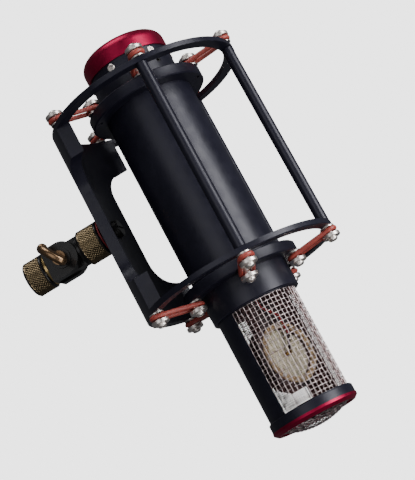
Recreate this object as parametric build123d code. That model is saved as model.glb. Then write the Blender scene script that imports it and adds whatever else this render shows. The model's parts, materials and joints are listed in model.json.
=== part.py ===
from build123d import *
import os
from math import atan2, cos, degrees, radians, sin, sqrt

# Studio condenser microphone hanging grille-down in a five-fold elastic cage mount.
# Row frame: origin at the mouth of the stand socket, +X from there to the cage axis, +Z to the cap.
# All lengths in mm. Most functions build about the cage axis and save() moves them by CAGE_X.

# --- cage ---
CAGE_X = 105.0
RING_IN = 49.3
RING_OUT = 55.5
RING_Z = 54.9
RING_T = 3.0
POST_R = 52.4
ROD_R = 3.15
ROD_AZIMUTHS = (0, 72, -72)
POST_AZIMUTHS = (0, 72, 144, 216, 288)
YOKE_HALF_WIDTH = 34.1
WEB_HALF_WIDTH = 17.9
WEB_HALF_HEIGHT = 36.8
YOKE_CORNER_R = 15.75

# --- suspension posts and loops ---
BODY_POST_R = 30.7
SCREW_R = 1.5
HOLE_R = 1.55
SPOOL_FLANGE_R = 4.0
SPOOL_CORE_R = 1.95
SPOOL_FLANGE_T = 0.65
LOOP_GAP = 3.45
DISC_R = 4.85
DISC_T = 2.2
HEAD_R = 2.6
HEAD_T = 1.9
LOOP_CORD_R = 1.3
LOOP_HALF_WIDTH = 3.45

# --- microphone body ---
BODY_R = 25.4
BODY_WALL = 1.6
FLANGE_TOP_R = 33.6
FLANGE_TOP_Z = (50.2, 56.7)
FLANGE_BOTTOM_R = 33.2
FLANGE_BOTTOM_Z = (-60.3, -54.3)
SPIGOT_R = 23.7
SPIGOT_L = 3.0
THROAT_R = 20.0
NECK_R = 23.6
NECK_TOP = 75.1
NECK_SCREW_Z = 72.0
CAP_R = 24.4
CAP_TOP = 87.5
CAP_ROUND = 6.0
CAP_WALL = 2.4

# --- microphone head ---
COLLAR_R = 24.9
COLLAR_Z = (-75.6, -60.3)
COLLAR_STEP_Z = -70.0
FRAME_R = 23.15
FRAME_IN = 22.7
WINDOW_Z = (-133.8, -76.0)
PILLAR_ANGLE = 44.0
PILLAR_AZIMUTHS = (-137.0, 72.0)
FRONT_AZIMUTH = -34.0
MESH_R = 22.6
MESH_T = 1.3
LINING_R = 21.25
LINING_T = 0.3
BAND_R = 24.1
BAND_Z = (-138.9, -134.2)
END_RING_R = 24.3
END_RING_Z = -141.9
END_RING_IN = 20.5
DOME_APEX_Z = -145.7
DOME_T = 0.9

# --- capsule ---
CAPSULE_Z = -105.5
CAPSULE_R = 17.0
CAPSULE_HALF_T = 4.6
RECESS_DEPTH = 2.6
CLAMP_IN = 13.9
CLAMP_T = 0.8
DIAPHRAGM_T = 0.4
STRIP_ANGLE = 28.0
SCREW_ANGLE = 20.0
LEAD_R = 0.7
LEAD_AHEAD = 7.2

# --- swivel, stations measured along X from the stand socket ---
SWIVEL_R = 10.3
STAND_COLLAR_L = 12.2
THREAD_R = 7.45
THREAD_L = 7.4
SPIGOT_PIN_R = 3.5
FORK_X = 12.5
PIVOT_X = 23.5
EAR_R = 9.5
EAR_Y = (3.3, 8.6)
TONGUE_R = 8.5
TONGUE_HALF_T = 3.0
COLLAR_X = (35.1, 48.65)
BOLT_R = 3.0
RUNNING = 0.08
THUMB_ANGLE = 121.4
PADDLE_OFFSET = 2.0


def turned(*points):
    """Solid of revolution about Z from (radius, height) points."""
    return revolve(make_face(Plane.XZ * Polyline(*points, close=True)), Axis.Z, 360)


def tube(r_out, r_in, z_low, z_high):
    """Plain tube about Z."""
    return turned((r_in, z_low), (r_out, z_low), (r_out, z_high), (r_in, z_high))


def rod(radius, z_low, z_high, x=0.0, y=0.0):
    """Round bar parallel to Z."""
    return Pos(x, y, (z_low + z_high) / 2) * Cylinder(radius, z_high - z_low)


def block(x, y, z):
    """Rectangular block between pairs of coordinates."""
    centre = Pos(sum(x) / 2, sum(y) / 2, sum(z) / 2)
    return centre * Box(x[1] - x[0], y[1] - y[0], z[1] - z[0])


def along_x(shape):
    """Lay a shape built about Z along X."""
    return Rot(0, 90, 0) * shape


def along_y(shape):
    """Lay a shape built about Z along Y."""
    return Rot(-90, 0, 0) * shape


def around(shape, azimuths):
    """Copies of one shape turned about Z."""
    return [Rot(0, 0, azimuth) * shape for azimuth in azimuths]


def both_ends(shapes):
    """The shapes and their mirror images in the plane Z = 0."""
    return shapes + [mirror(shape, Plane.XY) for shape in shapes]


def save(node, shapes, offset=CAGE_X):
    """Write one node, a single solid or a group of separate solids."""
    if not isinstance(shapes, list):
        shapes = [shapes]
    moved = [Pos(offset, 0, 0) * shape for shape in shapes]
    solids = [solid for shape in moved for solid in shape.solids()]
    export_step(Compound(children=solids), "parts/" + node + ".step")


# --- cage ---

def cage_ring():
    z_low = RING_Z
    z_high = RING_Z + RING_T
    c = 0.4
    ring = turned(
        (RING_IN, z_low), (RING_OUT, z_low), (RING_OUT, z_high - c), (RING_OUT - c, z_high),
        (RING_IN + c, z_high), (RING_IN, z_high - c),
    )
    for hole in around(rod(HOLE_R, z_low - 1, z_high + 1, POST_R), POST_AZIMUTHS):
        ring -= hole
    return ring


def cage_rod():
    bar = chamfer(rod(ROD_R, -RING_Z, RING_Z, POST_R).edges().filter_by(GeomType.CIRCLE), 0.3)
    for z in (-RING_Z, RING_Z):
        bar -= rod(HOLE_R, z - 12, z + 12, POST_R)
    return bar


def cage_yoke():
    shell = tube(RING_OUT, RING_IN, -RING_Z, RING_Z)
    shell &= block((-60, 0), (-YOKE_HALF_WIDTH, YOKE_HALF_WIDTH), (-60, 60))
    cut = block((-60, 0), (WEB_HALF_WIDTH, 60), (-WEB_HALF_HEIGHT, WEB_HALF_HEIGHT))
    edges = cut.edges().filter_by(Axis.X).sort_by(Axis.Y)[:2]
    cut = fillet(edges, YOKE_CORNER_R)
    shell -= cut
    shell -= mirror(cut, Plane.XZ)
    for hole in both_ends(around(rod(HOLE_R, RING_Z - 12, RING_Z + 12, POST_R), (144, 216))):
        shell -= hole
    shell -= along_x(rod(BOLT_R + RUNNING, -60, -40))
    shell -= along_x(rod(5.8, -RING_IN - 0.3, -40))
    return shell


def post_spool(radius, z):
    """Flanged spool that an elastic loop hangs on, standing on the plane at height z."""
    spool = rod(SPOOL_FLANGE_R, z, z + SPOOL_FLANGE_T, radius)
    spool += rod(SPOOL_CORE_R, z, z + SPOOL_FLANGE_T + LOOP_GAP, radius)
    return spool - rod(HOLE_R, z - 1, z + 10, radius)


def post_disc(radius, z):
    low = z + SPOOL_FLANGE_T + LOOP_GAP
    disc = chamfer(rod(DISC_R, low, low + DISC_T, radius).edges().filter_by(GeomType.CIRCLE), 0.3)
    return disc - rod(HOLE_R, low - 1, low + 5, radius)


def post_screw(radius, z, depth):
    low = z + SPOOL_FLANGE_T + LOOP_GAP + DISC_T
    head = rod(HEAD_R, low, low + HEAD_T, radius)
    head = fillet(head.edges().filter_by(GeomType.CIRCLE).sort_by(Axis.Z)[-1], 1.25)
    socket = extrude(Plane.XY.offset(low + HEAD_T - 1.1) * RegularPolygon(1.15, 6), 2)
    head -= Pos(radius, 0, 0) * socket
    return head + rod(SCREW_R, z - depth, low, radius)


def posts(maker, radius, z_top, z_bottom, *extra):
    """Five posts on the upper face and five on the lower face."""
    upper = around(maker(radius, z_top, *extra), POST_AZIMUTHS)
    lower = around(mirror(maker(radius, -z_bottom, *extra), Plane.XY), POST_AZIMUTHS)
    return upper + lower


def elastic_loop(z_body, z_ring):
    """Closed loop of round cord between a body post and a ring post."""
    rise = SPOOL_FLANGE_T + LOOP_GAP / 2
    run = POST_R - BODY_POST_R
    length = sqrt(run ** 2 + (z_ring - z_body) ** 2)
    w = LOOP_HALF_WIDTH
    path = Line((0, w), (length, w))
    path += ThreePointArc((length, w), (length + w, 0), (length, -w))
    path += Line((length, -w), (0, -w))
    path += ThreePointArc((0, -w), (-w, 0), (0, w))
    section = Plane(origin=(0, w, 0), z_dir=(1, 0, 0)) * Circle(LOOP_CORD_R)
    cord = sweep(section, path=path)
    tilt = degrees(atan2(z_ring - z_body, run))
    return Pos(BODY_POST_R, 0, z_body + rise) * Rot(0, -tilt, 0) * cord


# --- swivel ---

def stand_collar():
    c = 0.8
    length = STAND_COLLAR_L
    return turned(
        (9.05, 0), (SWIVEL_R - c, 0), (SWIVEL_R, c), (SWIVEL_R, length - c), (SWIVEL_R - c, length),
        (SPIGOT_PIN_R + RUNNING, length), (SPIGOT_PIN_R + RUNNING, 10.0), (8.0, 10.0),
        (8.0, THREAD_L), (9.05, THREAD_L),
    )


def thread_insert():
    return turned((THREAD_R, 0.4), (THREAD_R + 0.4, 0), (9.0, 0), (9.0, THREAD_L), (THREAD_R, THREAD_L))


def fork():
    body = Pos(PIVOT_X, 0, 0) * along_y(Cylinder(EAR_R, 2 * EAR_Y[1]))
    body += block((FORK_X + 1.3, PIVOT_X), (-EAR_Y[1], EAR_Y[1]), (-EAR_R, EAR_R))
    body -= block((0, FORK_X + 1.3), (-20, 20), (-20, 20))
    body -= block((FORK_X + 2.0, 60), (-EAR_Y[0], EAR_Y[0]), (-20, 20))
    body -= Pos(PIVOT_X, 0, 0) * along_y(Cylinder(BOLT_R + RUNNING, 40))
    body -= Pos(PIVOT_X, EAR_Y[1] - 1.5, 0) * along_y(Cylinder(5.0, 3.02))
    body += along_x(rod(SPIGOT_PIN_R, 7.7, FORK_X + 2.0))
    return body


def fork_neck():
    """Brass distance ring between the fork and the stand collar."""
    return along_x(tube(9.4, SPIGOT_PIN_R + 0.05, FORK_X, FORK_X + 1.3))


def spigot_nut():
    nut = along_x(extrude(RegularPolygon(6.0, 6), 2.0))
    return Pos(7.7, 0, 0) * (nut - along_x(rod(SPIGOT_PIN_R + 0.05, -1, 4)))


def brass_bush():
    """Threaded bush in the far ear that the thumb screw runs into."""
    ring = Cylinder(4.95, 3.0) - Cylinder(BOLT_R + RUNNING, 4)
    return Pos(PIVOT_X, EAR_Y[1] - 1.5, 0) * along_y(ring)


def thumb_washer():
    ring = Cylinder(5.6, 0.8) - Cylinder(BOLT_R + RUNNING, 2)
    return Pos(PIVOT_X, -EAR_Y[1] - 0.4, 0) * along_y(ring)


def thumb_screw():
    """Screw with a thick oval paddle whose plane holds the screw's axis."""
    shank = Pos(0, -0.85, 0) * along_y(Cylinder(BOLT_R, 18.7))
    hub = Pos(0, -11.2, 0) * along_y(Cylinder(3.9, 2.8))
    paddle = extrude(Ellipse(9.0, 5.6), 4.4)
    paddle = Pos(PADDLE_OFFSET, -17.0, -2.2) * fillet(paddle.edges(), 1.9)
    tip = Pos(PADDLE_OFFSET + 7.2, -16.5, 0) * Sphere(3.0)
    return Pos(PIVOT_X, 0, 0) * Rot(0, -THUMB_ANGLE, 0) * (shank + hub + paddle + tip)


def swivel_collar():
    c = 0.8
    low, high = COLLAR_X
    return along_x(turned(
        (6.05, low), (SWIVEL_R - c, low), (SWIVEL_R, low + c), (SWIVEL_R, high - c),
        (SWIVEL_R - c, high), (6.05, high),
    ))


def tongue():
    low, high = COLLAR_X
    body = Pos(PIVOT_X, 0, 0) * along_y(Cylinder(TONGUE_R, 2 * TONGUE_HALF_T))
    body += block((PIVOT_X, low - 1), (-TONGUE_HALF_T, TONGUE_HALF_T), (-TONGUE_R, TONGUE_R))
    body += along_x(rod(9.0, low - 1.6, low))
    body += along_x(rod(6.0, low, high))
    body -= Pos(PIVOT_X, 0, 0) * along_y(Cylinder(BOLT_R + RUNNING, 20))
    body -= along_x(rod(BOLT_R + 0.05, low + 3, high + 1))
    return body


def fibre_washer():
    return along_x(tube(9.6, BOLT_R + 0.1, -56.35, -55.65))


def cage_bolt():
    head = along_x(rod(5.0, -49.5, -45.9))
    head = chamfer(head.edges().filter_by(GeomType.CIRCLE).sort_by(Axis.X)[-1], 0.5)
    head -= block((-47.1, -45), (-6, 6), (-0.6, 0.6))
    return head + along_x(rod(BOLT_R, -66.0, -49.5))


# --- microphone body ---

def drilled_flange(radius, low, high, spigot_low, spigot_high):
    c = 0.6
    plate = turned(
        (THROAT_R, low), (radius - c, low), (radius, low + c), (radius, high - c),
        (radius - c, high), (THROAT_R, high),
    )
    plate += tube(SPIGOT_R, THROAT_R, spigot_low, spigot_high)
    for hole in around(rod(HOLE_R, low - 1, high + 1, BODY_POST_R), POST_AZIMUTHS):
        plate -= hole
    return plate


def flange_top():
    low, high = FLANGE_TOP_Z
    return drilled_flange(FLANGE_TOP_R, low, high, low - SPIGOT_L, low)


def flange_bottom():
    low, high = FLANGE_BOTTOM_Z
    return drilled_flange(FLANGE_BOTTOM_R, low, high, high, high + SPIGOT_L)


def body_tube():
    return tube(BODY_R, BODY_R - BODY_WALL, FLANGE_BOTTOM_Z[1], FLANGE_TOP_Z[0])


def neck_azimuths():
    return [FRONT_AZIMUTH - 6 + 60 * k for k in range(6)]


def neck():
    shell = turned(
        (THROAT_R, FLANGE_TOP_Z[1]), (NECK_R, FLANGE_TOP_Z[1]), (NECK_R, NECK_TOP),
        (21.95, NECK_TOP), (21.95, NECK_TOP + 4), (THROAT_R, NECK_TOP + 4),
    )
    seat = Pos(0, 0, NECK_SCREW_Z) * along_x(rod(2.25, 23.2, 30) + rod(1.0, 15, 30))
    for cut in around(seat, neck_azimuths()):
        shell -= cut
    return shell - Rot(0, 0, -36) * Pos(0, 0, 65.6) * along_x(rod(1.55, 15, 30))


def neck_screw():
    head = along_x(rod(2.2, 23.2, 24.3))
    head = fillet(head.edges().filter_by(GeomType.CIRCLE).sort_by(Axis.X)[-1], 0.5)
    head -= block((23.8, 25), (-1.3, 1.3), (-0.3, 0.3))
    head -= block((23.8, 25), (-0.3, 0.3), (-1.3, 1.3))
    return Pos(0, 0, NECK_SCREW_Z) * (head + along_x(rod(0.95, 20.6, 23.2)))


def grub_screw():
    screw = rod(1.5, 20.6, 23.3) - extrude(Plane.XY.offset(22.2) * RegularPolygon(0.8, 6), 3)
    screw = along_x(screw)
    return Rot(0, 0, -36) * Pos(0, 0, 65.6) * screw


def cap():
    outer = rod(CAP_R, NECK_TOP, CAP_TOP)
    outer = fillet(outer.edges().filter_by(GeomType.CIRCLE).sort_by(Axis.Z)[-1], CAP_ROUND)
    inner = rod(CAP_R - CAP_WALL, NECK_TOP - 1, CAP_TOP - 2.5)
    inner = fillet(inner.edges().filter_by(GeomType.CIRCLE).sort_by(Axis.Z)[-1], CAP_ROUND - 2)
    return outer - inner - rod(10.15, CAP_TOP - 5, CAP_TOP + 5)


def connector_shell():
    return turned(
        (0, 75.5), (10.0, 75.5), (10.0, CAP_TOP - 4.0), (12.5, CAP_TOP - 4.0), (12.5, CAP_TOP - 2.5),
        (10.0, CAP_TOP - 2.5), (10.0, CAP_TOP - 0.3), (8.6, CAP_TOP - 0.3), (8.6, 77.0), (0, 77.0),
    )


def pin_places():
    ring = [(5.2 * cos(radians(a)), 5.2 * sin(radians(a))) for a in range(0, 360, 60)]
    return ring + [(0.0, 0.0)]


def connector_insert():
    disc = rod(8.55, 77.0, 79.0)
    for x, y in pin_places():
        disc -= rod(1.0, 76, 80, x, y)
    return disc


def connector_pin(x, y):
    pin = rod(0.95, 77.0, 82.0, x, y)
    return fillet(pin.edges().filter_by(GeomType.CIRCLE).sort_by(Axis.Z)[-1], 0.6)


# --- microphone head ---

def head_collar():
    low, high = COLLAR_Z
    return turned(
        (THROAT_R, high), (COLLAR_R, high), (COLLAR_R, low + 0.5), (COLLAR_R - 0.5, low),
        (FRAME_R + 0.05, low), (FRAME_R + 0.05, COLLAR_STEP_Z), (THROAT_R, COLLAR_STEP_Z),
    )


def head_frame():
    """Tube with two wide windows that leave a pillar on each side."""
    low, high = WINDOW_Z
    windows = tube(30, 10, low, high)
    for azimuth in PILLAR_AZIMUTHS:
        windows -= pillar_wedge(azimuth, low, high)
    return tube(FRAME_R, FRAME_IN, BAND_Z[0], COLLAR_STEP_Z) - windows


def pillar_wedge(azimuth, low, high):
    """Sector of the pillar's width."""
    half = radians(PILLAR_ANGLE / 2)
    reach = 60 * sin(half) / cos(half)
    outline = Polyline((0, 0), (60, -reach), (60, reach), close=True)
    sector = extrude(Plane.XY.offset(low - 1) * make_face(outline), high - low + 2)
    return Rot(0, 0, azimuth) * sector


def grille_mesh():
    return tube(MESH_R, MESH_R - MESH_T, -137.9, COLLAR_STEP_Z - 0.1)


def grille_lining():
    return tube(LINING_R, LINING_R - LINING_T, -136.9, COLLAR_STEP_Z - 3.1)


def end_plate():
    """Dark disc that closes the head behind the domed end."""
    return rod(LINING_R - 0.5, BAND_Z[0] + 0.9, BAND_Z[0] + 1.9)


def head_deck():
    deck = rod(21.2, COLLAR_STEP_Z - 3.0, COLLAR_STEP_Z)
    for x, y in lead_places():
        deck -= rod(LEAD_R + 0.1, COLLAR_STEP_Z - 4, COLLAR_STEP_Z + 1, x, y)
    return deck


def end_band():
    low, high = BAND_Z
    return turned(
        (FRAME_R + 0.05, low), (BAND_R, low), (BAND_R, high - 0.4), (BAND_R - 0.4, high),
        (FRAME_R + 0.05, high),
    )


def end_ring():
    high = BAND_Z[0]
    return turned(
        (END_RING_IN, high), (END_RING_R, high), (END_RING_R, high - 1.4), (22.4, END_RING_Z),
        (END_RING_IN, END_RING_Z),
    )


def end_mesh():
    """Domed sheet with a skirt and a flange that sits on the end ring."""
    rim_r = END_RING_IN - 0.1
    rim_z = -140.4
    sag = rim_z - DOME_APEX_Z
    radius = (rim_r ** 2 + sag ** 2) / (2 * sag)
    centre_z = DOME_APEX_Z + radius
    shell = Pos(0, 0, centre_z) * (Sphere(radius) - Sphere(radius - DOME_T))
    shell &= rod(rim_r, DOME_APEX_Z - 1, rim_z)
    shell += tube(rim_r, rim_r - DOME_T, rim_z, BAND_Z[0])
    return shell + tube(FRAME_IN - 0.1, rim_r - DOME_T, BAND_Z[0], BAND_Z[0] + 0.9)


# --- capsule, built facing +X and turned to the front azimuth ---

def facing(shape):
    return Rot(0, 0, FRONT_AZIMUTH) * Pos(0, 0, CAPSULE_Z) * shape


def both_faces(shapes):
    return shapes + [mirror(shape, Plane.YZ) for shape in shapes]


def capsule_body():
    """Drum with a recess in each face for its diaphragm."""
    low = CAPSULE_HALF_T - RECESS_DEPTH
    drum = along_x(rod(CAPSULE_R, -CAPSULE_HALF_T, CAPSULE_HALF_T))
    drum -= along_x(rod(CLAMP_IN, low, 10) + rod(CLAMP_IN, -10, -low))
    for y, z in clamp_screw_places():
        drum -= Pos(0, y, z) * along_x(rod(0.6, -10, 10))
    return facing(drum)


def clamp_screw_places():
    """Places of the eight clamp screws in the capsule's face."""
    angles = [radians(90 - STRIP_ANGLE - SCREW_ANGLE + 45 * k) for k in range(8)]
    return [(15.45 * cos(a), 15.45 * sin(a)) for a in angles]


def clamp_rings():
    low = CAPSULE_HALF_T
    ring = along_x(tube(CAPSULE_R, CLAMP_IN, low, low + CLAMP_T))
    for y, z in clamp_screw_places():
        ring -= Pos(0, y, z) * along_x(rod(0.6, low - 1, low + 3))
    return [facing(shape) for shape in both_faces([ring])]


def clamp_screws():
    low = CAPSULE_HALF_T + CLAMP_T
    screw = rod(1.15, low, low + 0.6) + rod(0.55, low - CLAMP_T - 2, low)
    screw = along_x(screw - block((-1, 1), (-0.2, 0.2), (low + 0.3, low + 1)))
    shapes = [Pos(0, y, z) * screw for y, z in clamp_screw_places()]
    return [facing(shape) for shape in both_faces(shapes)]


def diaphragms():
    low = CAPSULE_HALF_T - RECESS_DEPTH
    disc = along_x(rod(CLAMP_IN - 0.05, low, low + DIAPHRAGM_T))
    return [facing(shape) for shape in both_faces([disc])]


def centre_terminals():
    low = CAPSULE_HALF_T - RECESS_DEPTH + DIAPHRAGM_T
    strip_z = CAPSULE_HALF_T + CLAMP_T
    post = rod(1.9, low, low + 0.8) + rod(1.1, low, strip_z + 0.6)
    return [facing(shape) for shape in both_faces([along_x(post)])]


def contact_strips():
    """Narrow wedge from the rim in to the centre terminal."""
    low = CAPSULE_HALF_T + CLAMP_T
    outline = Polyline((-1.4, 15.0), (1.4, 15.0), (0.7, 1.2), (-0.7, 1.2), close=True)
    face = Plane(origin=(low, 0, 0), x_dir=(0, 1, 0), z_dir=(1, 0, 0)) * make_face(outline)
    strip = Rot(-STRIP_ANGLE, 0, 0) * extrude(face, 0.35)
    return [facing(strip), facing(Rot(0, 0, 180) * strip)]


def capsule_saddle():
    """Hoop round the capsule on a broad stem that hangs from the head deck."""
    hoop = along_x(rod(19.3, -4.0, 4.0))
    stem = block((-4.0, 4.0), (-9, 9), (15, COLLAR_STEP_Z - 3.0 - CAPSULE_Z))
    return facing(hoop + stem - along_x(rod(CAPSULE_R + 0.02, -6, 6)))


def front_point(ahead, across):
    """Point in plan, ahead of the cage axis along the capsule's facing and across it."""
    a = radians(FRONT_AZIMUTH)
    return (ahead * cos(a) - across * sin(a), ahead * sin(a) + across * cos(a))


def lead_places():
    """Holes in the head deck for the front and rear capsule leads."""
    return [front_point(LEAD_AHEAD, -6.0), front_point(-LEAD_AHEAD, 6.0)]


def capsule_lead(side):
    """Lead from the circuit board through the head deck to a contact strip."""
    down = lead_places()[0 if side > 0 else 1]
    over = front_point(LEAD_AHEAD * side, 3.2 * side)
    end = front_point((CAPSULE_HALF_T + CLAMP_T + 0.35 + LEAD_R) * side, 4.8 * side)
    points = [
        (-4.0 * side, 9.8, -45.0), (-4.0 * side, 9.8, -53.0), (*down, -63.0), (*down, -78.0),
        (*over, -85.5), (*end, -96.2),
    ]
    path = FilletPolyline(*points, radius=5.0)
    section = Plane(origin=points[0], z_dir=(0, 0, -1)) * Circle(LEAD_R)
    return sweep(section, path=path)


# --- electronics inside the body tube ---

def chassis_rails():
    rail = block((20, 22), (-4, 4), (FLANGE_BOTTOM_Z[1] + SPIGOT_L, FLANGE_TOP_Z[0] - SPIGOT_L))
    return [rail, mirror(rail, Plane.YZ)]


def chassis_deck():
    return rod(19.98, 0, 2)


def circuit_board():
    return block((-15, 15), (9.0, 10.6), (-45, 0))


def vacuum_tube():
    bulb = rod(8.5, -42, -6, 0, -8)
    return fillet(bulb.edges().filter_by(GeomType.CIRCLE).sort_by(Axis.Z)[0], 6)


def tube_socket():
    return rod(9.6, -6, 0, 0, -8)


def capacitors():
    return [rod(3.4, -30, -14, x, 9.0 - 3.4) for x in (-9.5, 0, 9.5)]


def transformer_core():
    core = block((-13, 13), (-8, 8), (2, 26))
    for x in ((-9, -4), (4, 9)):
        core -= block(x, (-9, 9), (7, 21))
    return core


def transformer_coil():
    return block((-8.8, 8.8), (-11, 11), (7.2, 20.8)) - block((-4.1, 4.1), (-8.1, 8.1), (0, 30))


def output_leads():
    """Three leads from the connector down to the transformer."""
    shapes = []
    for x in (-5.0, 0.0, 5.0):
        points = [(x, 0, 75.5), (x, 0, 55.0), (1.4 * x, 6, 40.0), (1.4 * x, 6, 26.0)]
        path = FilletPolyline(*points, radius=6.0)
        section = Plane(origin=points[0], z_dir=(0, 0, -1)) * Circle(LEAD_R)
        shapes.append(sweep(section, path=path))
    return shapes


def main():
    os.makedirs("parts", exist_ok=True)
    ring_face = RING_Z + RING_T
    top_face = FLANGE_TOP_Z[1]
    bottom_face = FLANGE_BOTTOM_Z[0]
    thread_depth = 5.5

    save("ring_top", cage_ring())
    save("ring_bottom", mirror(cage_ring(), Plane.XY))
    save("rods", around(cage_rod(), ROD_AZIMUTHS))
    save("yoke", cage_yoke())
    save("ring_post_spools", posts(post_spool, POST_R, ring_face, -ring_face))
    save("ring_post_discs", posts(post_disc, POST_R, ring_face, -ring_face))
    save("ring_post_screws", posts(post_screw, POST_R, ring_face, -ring_face, RING_T + 8))

    save("stand_collar", along_x(stand_collar()), 0)
    save("thread_insert", along_x(thread_insert()), 0)
    save("fork", fork(), 0)
    save("fork_neck", fork_neck(), 0)
    save("spigot_nut", spigot_nut(), 0)
    save("brass_bush", brass_bush(), 0)
    save("thumb_washer", thumb_washer(), 0)
    save("thumb_screw", thumb_screw(), 0)
    save("tongue", tongue(), 0)
    save("swivel_collar", swivel_collar(), 0)
    save("fibre_washer", fibre_washer())
    save("cage_bolt", cage_bolt())

    save("body_tube", body_tube())
    save("flange_top", flange_top())
    save("flange_bottom", flange_bottom())
    save("body_post_spools", posts(post_spool, BODY_POST_R, top_face, bottom_face))
    save("body_post_discs", posts(post_disc, BODY_POST_R, top_face, bottom_face))
    save("body_post_screws", posts(post_screw, BODY_POST_R, top_face, bottom_face, thread_depth))
    save("neck", neck())
    save("neck_screws", around(neck_screw(), neck_azimuths()))
    save("grub_screw", grub_screw())
    save("cap", cap())
    save("connector_shell", connector_shell())
    save("connector_insert", connector_insert())
    save("connector_pins", [connector_pin(x, y) for x, y in pin_places()])

    save("head_collar", head_collar())
    save("head_frame", head_frame())
    save("grille_mesh", grille_mesh())
    save("grille_lining", grille_lining())
    save("end_plate", end_plate())
    save("head_deck", head_deck())
    save("end_band", end_band())
    save("end_ring", end_ring())
    save("end_mesh", end_mesh())

    save("capsule_body", capsule_body())
    save("clamp_rings", clamp_rings())
    save("clamp_screws", clamp_screws())
    save("diaphragms", diaphragms())
    save("centre_terminals", centre_terminals())
    save("contact_strips", contact_strips())
    save("capsule_saddle", capsule_saddle())
    save("capsule_leads", [capsule_lead(1), capsule_lead(-1)])

    save("chassis_rails", chassis_rails())
    save("chassis_deck", chassis_deck())
    save("circuit_board", circuit_board())
    save("vacuum_tube", vacuum_tube())
    save("tube_socket", tube_socket())
    save("capacitors", capacitors())
    save("transformer_core", transformer_core())
    save("transformer_coil", transformer_coil())
    save("output_leads", output_leads())

    save("loops_top", around(elastic_loop(top_face, ring_face), POST_AZIMUTHS))
    lower = mirror(elastic_loop(-bottom_face, ring_face), Plane.XY)
    save("loops_bottom", around(lower, POST_AZIMUTHS))


main()
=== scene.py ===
import json
import math

import bpy
from mathutils import Matrix, Vector


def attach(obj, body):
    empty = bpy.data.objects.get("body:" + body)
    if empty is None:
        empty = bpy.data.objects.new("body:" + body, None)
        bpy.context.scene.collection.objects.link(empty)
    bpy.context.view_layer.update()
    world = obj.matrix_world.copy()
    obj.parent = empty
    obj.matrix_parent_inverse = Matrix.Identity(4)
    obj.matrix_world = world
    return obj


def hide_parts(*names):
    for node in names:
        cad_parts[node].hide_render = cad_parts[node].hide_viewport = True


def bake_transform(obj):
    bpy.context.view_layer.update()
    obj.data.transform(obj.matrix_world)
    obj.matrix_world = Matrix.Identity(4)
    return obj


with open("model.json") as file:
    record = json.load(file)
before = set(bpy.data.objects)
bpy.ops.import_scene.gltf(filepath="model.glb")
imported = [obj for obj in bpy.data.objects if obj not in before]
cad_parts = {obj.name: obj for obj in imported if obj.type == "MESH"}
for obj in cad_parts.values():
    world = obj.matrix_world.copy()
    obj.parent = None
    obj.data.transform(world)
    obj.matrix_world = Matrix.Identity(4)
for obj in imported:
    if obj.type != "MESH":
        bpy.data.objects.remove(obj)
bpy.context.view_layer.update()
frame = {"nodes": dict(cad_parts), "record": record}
NODES = frame["nodes"]
MM = 0.001
CAGE_X = 0.105  # the cage's axis, m from the stand socket's mouth
SHARP_ANGLE = 28  # degrees
CENTRE = (0.1, 0, 0)

# head cloths, mm about the cage axis
WEAVE_R = 22.1
WEAVE_TOP = -71.2
WEAVE_BOTTOM = -137.8
WEAVE_COLUMNS = 56
WEAVE_PITCH = 2.54
WEAVE_WIRE_R = 0.19
WEAVE_CRIMP = 0.18
LINING_R = 21.1
LINING_TOP = -73.2
LINING_BOTTOM = -136.8
LINING_COLUMNS = 132
LINING_WIRE_R = 0.13
DOME_RIM_R = 20.2
DOME_APEX = -145.7
DOME_CENTRE = -103.8
DOME_PITCH = 2.9
DOME_WIRE_R = 0.24
DOME_TURN = math.radians(-34)
DOME_HOOP_R = 20.0
DOME_HOOPS = (-140.5, -139.4)
DOME_HOOP_WIRE_R = 0.4

# elastic loops, mm
LOOP_COUNT = 5
RING_POST_R = 52.4
BODY_POST_R = 30.7
LOOP_HALF_WIDTH = 3.45
LOOP_CORD_R = 1.3
LOOP_RISE = 2.375  # cord's centre above the face its spool stands on
TOP_FACES = (56.7, 57.9)  # flange face, ring face
BOTTOM_FACES = (-60.3, -57.9)

# knurled collars, mm along and round the swivel's axis
COLLAR_R = 10.3
COLLAR_EDGE_R = 9.5
KNURL_R = 10.28
KNURL_DEPTH = 0.34
KNURL_STARTS = 36
KNURL_LEAD = 1.75
KNURL_STEP = 0.16
COLLAR_POINTS = 288


# --- materials ---

def ramp_colour(nodes, links, fac, low, high):
    mix = nodes.new("ShaderNodeMix")
    mix.data_type = "RGBA"
    mix.inputs["A"].default_value = (*low, 1)
    mix.inputs["B"].default_value = (*high, 1)
    links.new(fac, mix.inputs["Factor"])
    return mix.outputs["Result"]


def map_range(nodes, links, value, low, high):
    node = nodes.new("ShaderNodeMapRange")
    node.inputs["From Min"].default_value = 0.3
    node.inputs["From Max"].default_value = 0.7
    node.inputs["To Min"].default_value = low
    node.inputs["To Max"].default_value = high
    links.new(value, node.inputs["Value"])
    return node.outputs["Result"]


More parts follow.
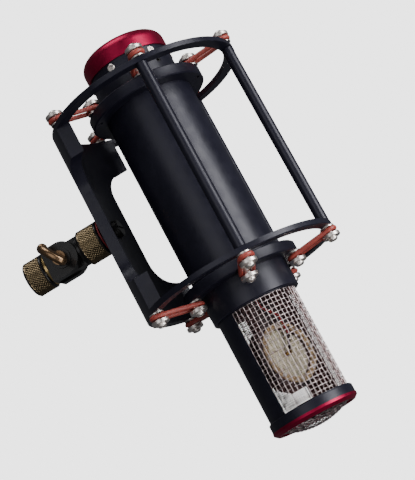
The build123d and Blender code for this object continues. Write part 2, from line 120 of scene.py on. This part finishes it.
def material(name, low, high, rough, scale=300, stretch=(1, 1, 1), bump=0.0, bump_scale=3000, **sockets):
    """Principled surface whose colour, gloss and relief vary with noise in object space."""
    mat = bpy.data.materials.new(name)
    mat.use_nodes = True
    nodes, links = mat.node_tree.nodes, mat.node_tree.links
    shader = nodes["Principled BSDF"]
    for socket, value in sockets.items():
        shader.inputs[socket.replace("_", " ")].default_value = value
    coords = nodes.new("ShaderNodeTexCoord").outputs["Object"]
    mapping = nodes.new("ShaderNodeMapping")
    mapping.inputs["Scale"].default_value = stretch
    links.new(coords, mapping.inputs["Vector"])
    noise = nodes.new("ShaderNodeTexNoise")
    noise.inputs["Scale"].default_value = scale
    noise.inputs["Detail"].default_value = 5
    links.new(mapping.outputs["Vector"], noise.inputs["Vector"])
    links.new(ramp_colour(nodes, links, noise.outputs["Fac"], low, high), shader.inputs["Base Color"])
    links.new(map_range(nodes, links, noise.outputs["Fac"], *rough), shader.inputs["Roughness"])
    if bump:
        grain = nodes.new("ShaderNodeTexNoise")
        grain.inputs["Scale"].default_value = bump_scale
        grain.inputs["Detail"].default_value = 3
        links.new(mapping.outputs["Vector"], grain.inputs["Vector"])
        relief = nodes.new("ShaderNodeBump")
        relief.inputs["Strength"].default_value = bump
        relief.inputs["Distance"].default_value = 0.0001
        links.new(grain.outputs["Fac"], relief.inputs["Height"])
        links.new(relief.outputs["Normal"], shader.inputs["Normal"])
    return mat


LOOKS = {
    "black_anodised": dict(low=(0.008, 0.008, 0.015), high=(0.016, 0.0155, 0.029), rough=(0.30, 0.42),
                           scale=160, bump=0.08, bump_scale=5000, Metallic=0.2, Specular_IOR_Level=0.36),
    "black_sleeve": dict(low=(0.08, 0.060, 0.036), high=(0.30, 0.225, 0.13), rough=(0.16, 0.28),
                         scale=420, bump=0.05, Metallic=1.0),
    "black_steel": dict(low=(0.007, 0.007, 0.008), high=(0.018, 0.017, 0.017), rough=(0.22, 0.34),
                        scale=260, bump=0.04, Metallic=0.3, Specular_IOR_Level=0.4),
    "red_anodised": dict(low=(0.24, 0.006, 0.034), high=(0.36, 0.010, 0.054), rough=(0.36, 0.46),
                         scale=200, bump=0.05, bump_scale=6000, Metallic=0.88, Specular_IOR_Level=0.3),
    "bright_chrome": dict(low=(0.76, 0.70, 0.66), high=(0.92, 0.86, 0.81), rough=(0.32, 0.42),
                          scale=260, bump=0.02, Metallic=1.0),
    "warm_nickel": dict(low=(0.46, 0.39, 0.39), high=(0.78, 0.68, 0.68), rough=(0.22, 0.34),
                        scale=700, bump=0.05, Metallic=1.0),
    # the lining's warm nickel painted darker and redder: painted shade for the inside of the head, a shaded
    # copy of warm_nickel
    "lining_painted_shade": dict(low=(0.070, 0.034, 0.034), high=(0.16, 0.090, 0.088), rough=(0.35, 0.5),
                         scale=900, bump=0.05, Metallic=1.0),
    "bronze": dict(low=(0.14, 0.085, 0.045), high=(0.30, 0.19, 0.11), rough=(0.22, 0.36),
                   scale=220, bump=0.08, Metallic=0.95),
    "yellow_brass": dict(low=(0.46, 0.31, 0.12), high=(0.72, 0.52, 0.24), rough=(0.18, 0.32),
                         scale=350, bump=0.05, Metallic=1.0),
    "red_silicone": dict(low=(0.22, 0.028, 0.026), high=(0.46, 0.085, 0.062), rough=(0.34, 0.48),
                         scale=300, bump=0.08, Subsurface_Weight=0.15, Subsurface_Scale=0.002),
    "red_fibre": dict(low=(0.16, 0.006, 0.012), high=(0.28, 0.014, 0.022), rough=(0.6, 0.8),
                      scale=900, bump=0.3),
    "gold_film": dict(low=(0.88, 0.76, 0.46), high=(0.97, 0.90, 0.66), rough=(0.30, 0.45),
                      scale=240, bump=0.05, Metallic=0.1),
    "pale_gold": dict(low=(0.50, 0.33, 0.16), high=(0.70, 0.50, 0.27), rough=(0.32, 0.46),
                      scale=380, bump=0.08, Metallic=0.3),
    "black_plastic": dict(low=(0.006, 0.006, 0.006), high=(0.014, 0.014, 0.015), rough=(0.4, 0.6),
                          scale=300, bump=0.15),
    "green_board": dict(low=(0.01, 0.07, 0.025), high=(0.02, 0.12, 0.045), rough=(0.3, 0.45),
                        scale=120, bump=0.05),
    "clear_glass": dict(low=(0.90, 0.94, 0.94), high=(0.98, 1.0, 1.0), rough=(0.02, 0.06), scale=60,
                        Transmission_Weight=0.9, IOR=1.5),
    "steel_sheet": dict(low=(0.28, 0.28, 0.30), high=(0.42, 0.42, 0.44), rough=(0.3, 0.5),
                        scale=500, stretch=(1, 1, 12), bump=0.1, Metallic=1.0),
    "copper_wire": dict(low=(0.38, 0.12, 0.04), high=(0.60, 0.22, 0.08), rough=(0.25, 0.4),
                        scale=400, stretch=(1, 1, 20), bump=0.3, Metallic=1.0),
    "capacitor_film": dict(low=(0.30, 0.12, 0.02), high=(0.46, 0.2, 0.04), rough=(0.2, 0.35),
                           scale=200, bump=0.05, Coat_Weight=0.4),
    "red_lead": dict(low=(0.36, 0.012, 0.018), high=(0.52, 0.022, 0.03), rough=(0.3, 0.45),
                     scale=300, bump=0.05),
}
MATERIALS = {name: material(name, **look) for name, look in LOOKS.items()}
SLOT_OF = {part["node"]: part["material_slot"] for part in frame["record"]["subparts"]}

for node_name, node in NODES.items():
    node.data.materials.clear()
    node.data.materials.append(MATERIALS[SLOT_OF[node_name]])
    node.data.shade_smooth()
    node.data.set_sharp_from_angle(angle=math.radians(SHARP_ANGLE))


# --- new geometry ---

class Builder:
    """Collects vertices and faces in millimetres about the cage axis."""

    def __init__(self):
        self.verts = []
        self.faces = []

    def grid(self, rows, close_rows=False, close_columns=True):
        """Skin between rows of points; each row is a ring or a strip."""
        base = len(self.verts)
        width = len(rows[0])
        for row in rows:
            self.verts += row
        last_row = len(rows) if close_rows else len(rows) - 1
        last_column = width if close_columns else width - 1
        for i in range(last_row):
            for j in range(last_column):
                a = base + i * width + j
                b = base + i * width + (j + 1) % width
                c = base + (i + 1) % len(rows) * width + (j + 1) % width
                d = base + (i + 1) % len(rows) * width + j
                self.faces.append((a, b, c, d))

    def cap(self, start, count, flip=False):
        ring = list(range(start, start + count))
        self.faces.append(tuple(reversed(ring)) if flip else tuple(ring))

    def wire(self, points, radius, sides=6, closed=False, up=None):
        """Round bar along points, its section held square to the path."""
        rows = []
        count = len(points)
        for i, point in enumerate(points):
            before = points[(i - 1) % count] if closed or i else points[0]
            after = points[(i + 1) % count] if closed or i < count - 1 else points[-1]
            along = (Vector(after) - Vector(before)).normalized()
            hint = Vector(up(point)) if up else Vector((0, 0, 1))
            side = along.cross(hint).normalized()
            top = side.cross(along)
            ring = []
            for k in range(sides):
                a = 2 * math.pi * k / sides
                ring.append(tuple(Vector(point) + radius * (math.cos(a) * side + math.sin(a) * top)))
            rows.append(ring)
        base = len(self.verts)
        self.grid(rows, close_rows=closed)
        if not closed:
            self.cap(base, sides)
            self.cap(base + (count - 1) * sides, sides, flip=True)

    def build(self, name, slot, body, replaces=(), matrix=None, smooth=40, look=None):
        """Object in the row frame, riding on a body."""
        place = matrix or Matrix.Translation((CAGE_X, 0, 0)) @ Matrix.Scale(MM, 4)
        mesh = bpy.data.meshes.new(name)
        mesh.from_pydata([tuple(place @ Vector(v)) for v in self.verts], [], self.faces)
        mesh.validate()
        mesh.materials.append(MATERIALS[look or slot])
        mesh.shade_smooth()
        mesh.set_sharp_from_angle(angle=math.radians(smooth))
        piece = bpy.data.objects.new(name, mesh)
        bpy.context.scene.collection.objects.link(piece)
        if body:
            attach(piece, body)
        if replaces:
            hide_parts(*replaces)
        return piece


def radial(point):
    return (point[0], point[1], 0)


def woven_tube(builder, radius, top, bottom, columns, pitch, wire_r, crimp):
    """Square weave of bars round Z and bars along Z that pass over and under."""
    step = 2 * math.pi / columns
    rows = int((top - bottom) / pitch)
    for k in range(columns):
        sign = 1 if k % 2 else -1
        points = []
        for i in range(rows * 4 + 1):
            z = top - i * pitch / 4
            r = radius + sign * crimp * math.cos(math.pi * i / 4)
            points.append((r * math.cos(k * step), r * math.sin(k * step), z))
        builder.wire(points, wire_r, up=radial)
    for j in range(rows + 1):
        sign = -1 if j % 2 else 1
        points = []
        for i in range(columns * 4):
            r = radius + sign * crimp * math.cos(math.pi * i / 4)
            a = i * step / 4
            points.append((r * math.cos(a), r * math.sin(a), top - j * pitch))
        builder.wire(points, wire_r, closed=True)


def fine_lining(builder, radius, top, bottom, columns, wire_r):
    """Fine square cloth behind the coarse weave: straight bars inside, hoops outside."""
    step = 2 * math.pi / columns
    rows = int((top - bottom) / (radius * step))
    for k in range(columns):
        x, y = math.cos(k * step), math.sin(k * step)
        inside = radius - wire_r
        ends = [(inside * x, inside * y, top), (inside * x, inside * y, bottom)]
        builder.wire(ends, wire_r, sides=4, up=radial)
    for j in range(rows + 1):
        z = top - j * (top - bottom) / rows
        outside = radius + wire_r
        points = [
            (outside * math.cos(k * step), outside * math.sin(k * step), z) for k in range(columns)
        ]
        builder.wire(points, wire_r, sides=4, closed=True)


def woven_dome(builder, rim_r, apex_z, centre_z, pitch, wire_r, crimp, turn):
    """Square weave pressed to a shallow dome."""
    radius = centre_z - apex_z - 2 * wire_r
    count = int(rim_r / pitch)
    cos_t, sin_t = math.cos(turn), math.sin(turn)
    for family in (0, 1):
        for k in range(-count, count + 1):
            fixed = k * pitch
            reach = math.sqrt(rim_r ** 2 - fixed ** 2)
            steps = max(4, int(reach * 2 / pitch * 4))
            points = []
            for i in range(steps + 1):
                run = -reach + 2 * reach * i / steps
                phase = math.cos(math.pi * run / pitch) * (-1) ** (k + family)
                x, y = (fixed, run) if family else (run, fixed)
                z = centre_z - math.sqrt((radius + crimp * phase) ** 2 - x * x - y * y)
                points.append((x * cos_t - y * sin_t, x * sin_t + y * cos_t, z))
            builder.wire(points, wire_r)


def hoop(builder, radius, z, wire_r, sides=10):
    points = []
    for i in range(96):
        a = 2 * math.pi * i / 96
        points.append((radius * math.cos(a), radius * math.sin(a), z))
    builder.wire(points, wire_r, sides=sides, closed=True)


def knurled_collar(name, node, body, profile, low, high):
    """Collar about X with a fine diamond knurl between two plain bands."""
    builder = Builder()
    count = COLLAR_POINTS
    rows = []

    def ring(r, x):
        points = []
        for i in range(count):
            a = 2 * math.pi * i / count
            points.append((x, r * math.cos(a), r * math.sin(a)))
        return points

    for r, x in profile["before"]:
        rows.append(ring(r, x))
    length = high - low
    steps = int(length / KNURL_STEP)
    for s in range(steps + 1):
        x = low + length * s / steps
        fade = min(1.0, s / 2, (steps - s) / 2)
        points = []
        for i in range(count):
            a = 2 * math.pi * i / count
            twist = 2 * math.pi * (x - low) / KNURL_LEAD
            one = abs(math.sin(0.5 * (KNURL_STARTS * a + twist)))
            two = abs(math.sin(0.5 * (KNURL_STARTS * a - twist)))
            r = KNURL_R - KNURL_DEPTH * fade * (1 - min(one, two) ** 0.7)
            points.append((x, r * math.cos(a), r * math.sin(a)))
        rows.append(points)
    for r, x in profile["after"]:
        rows.append(ring(r, x))
    builder.grid(rows, close_rows=True)
    piece = builder.build(name, "black_sleeve", body, (node,), matrix=Matrix.Scale(MM, 4), smooth=50)
    piece.data.materials.append(MATERIALS["black_steel"])
    knurl_start = len(profile["before"])
    knurl_end = len(rows) - len(profile["after"]) - 1
    for polygon in piece.data.polygons:
        if not knurl_start <= polygon.index // count < knurl_end:
            polygon.material_index = 1


def elastic_loop(name, azimuth, z_body, z_ring):
    """Loop of round cord from a ring post to a body post."""
    inner, outer, half = BODY_POST_R, RING_POST_R, LOOP_HALF_WIDTH
    points = []
    flat = []
    turns = 14
    for i in range(turns + 1):
        a = math.pi / 2 - math.pi * i / turns
        flat.append((outer + half * math.cos(a), half * math.sin(a)))
    for i in range(1, 12):
        flat.append((outer + (inner - outer) * i / 12, -half))
    for i in range(turns + 1):
        a = -math.pi / 2 - math.pi * i / turns
        flat.append((inner + half * math.cos(a), half * math.sin(a)))
    for i in range(1, 12):
        flat.append((inner + (outer - inner) * i / 12, half))
    a = math.radians(azimuth)
    for r, y in flat:
        z = z_body + (z_ring - z_body) * (r - inner) / (outer - inner)
        points.append((r * math.cos(a) - y * math.sin(a), r * math.sin(a) + y * math.cos(a), z))
    builder = Builder()
    builder.wire(points, LOOP_CORD_R, sides=14, closed=True)
    node = "loops_top" if z_ring > 0 else "loops_bottom"
    piece = builder.build(name, "red_silicone", None, (node,))

    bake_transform(piece)


weave = Builder()
woven_tube(weave, WEAVE_R, WEAVE_TOP, WEAVE_BOTTOM, WEAVE_COLUMNS, WEAVE_PITCH, WEAVE_WIRE_R, WEAVE_CRIMP)
weave.build("grille_weave", "warm_nickel", "mic", ("grille_mesh",), smooth=80)

dome = Builder()
woven_dome(dome, DOME_RIM_R, DOME_APEX, DOME_CENTRE, DOME_PITCH, DOME_WIRE_R, DOME_WIRE_R, DOME_TURN)
for hoop_z in DOME_HOOPS:
    hoop(dome, DOME_HOOP_R, hoop_z, DOME_HOOP_WIRE_R)
dome.build("end_weave", "warm_nickel", "mic", ("end_mesh",), smooth=80)

lining = Builder()
fine_lining(lining, LINING_R, LINING_TOP, LINING_BOTTOM, LINING_COLUMNS, LINING_WIRE_R)
# the lining wears a darker copy of its warm_nickel slot: painted shade inside the head
lining.build("grille_lining_mesh", "warm_nickel", "mic", ("grille_lining",), smooth=80, look="lining_painted_shade")

knurled_collar(
    "swivel_collar_knurled", "swivel_collar", "swivel",
    {"before": [(6.05, 35.1), (COLLAR_EDGE_R, 35.1), (COLLAR_R, 35.9)],
     "after": [(COLLAR_R, 47.85), (COLLAR_EDGE_R, 48.65), (6.05, 48.65)]},
    36.5, 47.2,
)
knurled_collar(
    "stand_collar_knurled", "stand_collar", "stand",
    {"before": [(9.05, 7.4), (9.05, 0), (COLLAR_EDGE_R, 0), (COLLAR_R, 0.8)],
     "after": [(COLLAR_R, 11.4), (COLLAR_EDGE_R, 12.2), (3.58, 12.2), (3.58, 10.0), (8.0, 10.0), (8.0, 7.4)]},
    1.4, 10.8,
)

for k in range(LOOP_COUNT):
    turn = 360 // LOOP_COUNT * k
    elastic_loop(f"elastic_loop_top_{k}", turn, TOP_FACES[0] + LOOP_RISE, TOP_FACES[1] + LOOP_RISE)
    elastic_loop(f"elastic_loop_bottom_{k}", turn, BOTTOM_FACES[0] - LOOP_RISE, BOTTOM_FACES[1] - LOOP_RISE)


# --- stage ---

def camera_glow(piece, strength):
    """Bright to the camera alone, so that the stage adds no light to the object."""
    shader = piece.data.materials[0].node_tree.nodes["Principled BSDF"]
    shader.inputs["Emission Color"].default_value = (1, 1, 1, 1)
    shader.inputs["Emission Strength"].default_value = strength
    piece.visible_diffuse = False
    piece.visible_glossy = False


def stage_plane(name, size, place, colour):
    mesh = bpy.data.meshes.new(name)
    s = size / 2
    mesh.from_pydata([(-s, -s, 0), (s, -s, 0), (s, s, 0), (-s, s, 0)], [], [(0, 1, 2, 3)])
    plane = bpy.data.objects.new(name, mesh)
    plane.location = place
    bpy.context.scene.collection.objects.link(plane)
    mesh.materials.append(material(name, colour, colour, (0.6, 0.7), scale=4))
    return plane


def area_light(name, place, target, size, power):
    data = bpy.data.lights.new(name, "AREA")
    data.shape = "RECTANGLE"
    data.size, data.size_y = size
    data.energy = power
    lamp = bpy.data.objects.new(name, data)
    lamp.location = place
    lamp.rotation_euler = (Vector(target) - Vector(place)).to_track_quat("-Z", "Y").to_euler()
    bpy.context.scene.collection.objects.link(lamp)


floor = stage_plane("floor", 8.0, (0.1, 0, -1.1), (0.82, 0.82, 0.83))
camera_glow(floor, 0.8)

bpy.ops.mesh.primitive_uv_sphere_add(segments=48, ring_count=24, radius=4.0, location=(0.1, 0, 0))
backdrop = bpy.context.object
backdrop.name = "backdrop"
backdrop.data.materials.append(material("backdrop", (0.9, 0.9, 0.9), (0.95, 0.95, 0.95), (0.8, 0.9), scale=1))
camera_glow(backdrop, 3.0)
backdrop.visible_shadow = False

world = bpy.data.worlds.new("studio")
world.use_nodes = True
world.node_tree.nodes["Background"].inputs["Color"].default_value = (0.93, 0.95, 1.0, 1)
world.node_tree.nodes["Background"].inputs["Strength"].default_value = 0.09
bpy.context.scene.world = world

area_light("key", (1.05, -0.32, 0.05), CENTRE, (0.55, 0.8), 14)
area_light("top", (0.15, -0.3, 0.95), CENTRE, (0.6, 0.4), 5)
area_light("front", (0.0, -1.1, 0.1), CENTRE, (0.7, 0.7), 2.2)
area_light("low", (0.5, -0.5, -0.65), CENTRE, (0.5, 0.5), 3)

# --- camera ---

camera_data = bpy.data.cameras.new("camera")
camera_data.lens = 100.68
camera_data.sensor_width = 36
camera_data.clip_start = 0.02
camera = bpy.data.objects.new("camera", camera_data)
RIGHT = (0.84338, 0.27870, -0.45938)
UP = (0.50207, -0.10424, 0.85852)
BACK = (0.19139, -0.95470, -0.22785)
axes = Matrix((RIGHT, UP, BACK)).transposed().to_4x4()
camera.matrix_world = Matrix.Translation((0.235842, -0.686144, -0.194798)) @ axes
bpy.context.scene.collection.objects.link(camera)
bpy.context.scene.camera = camera
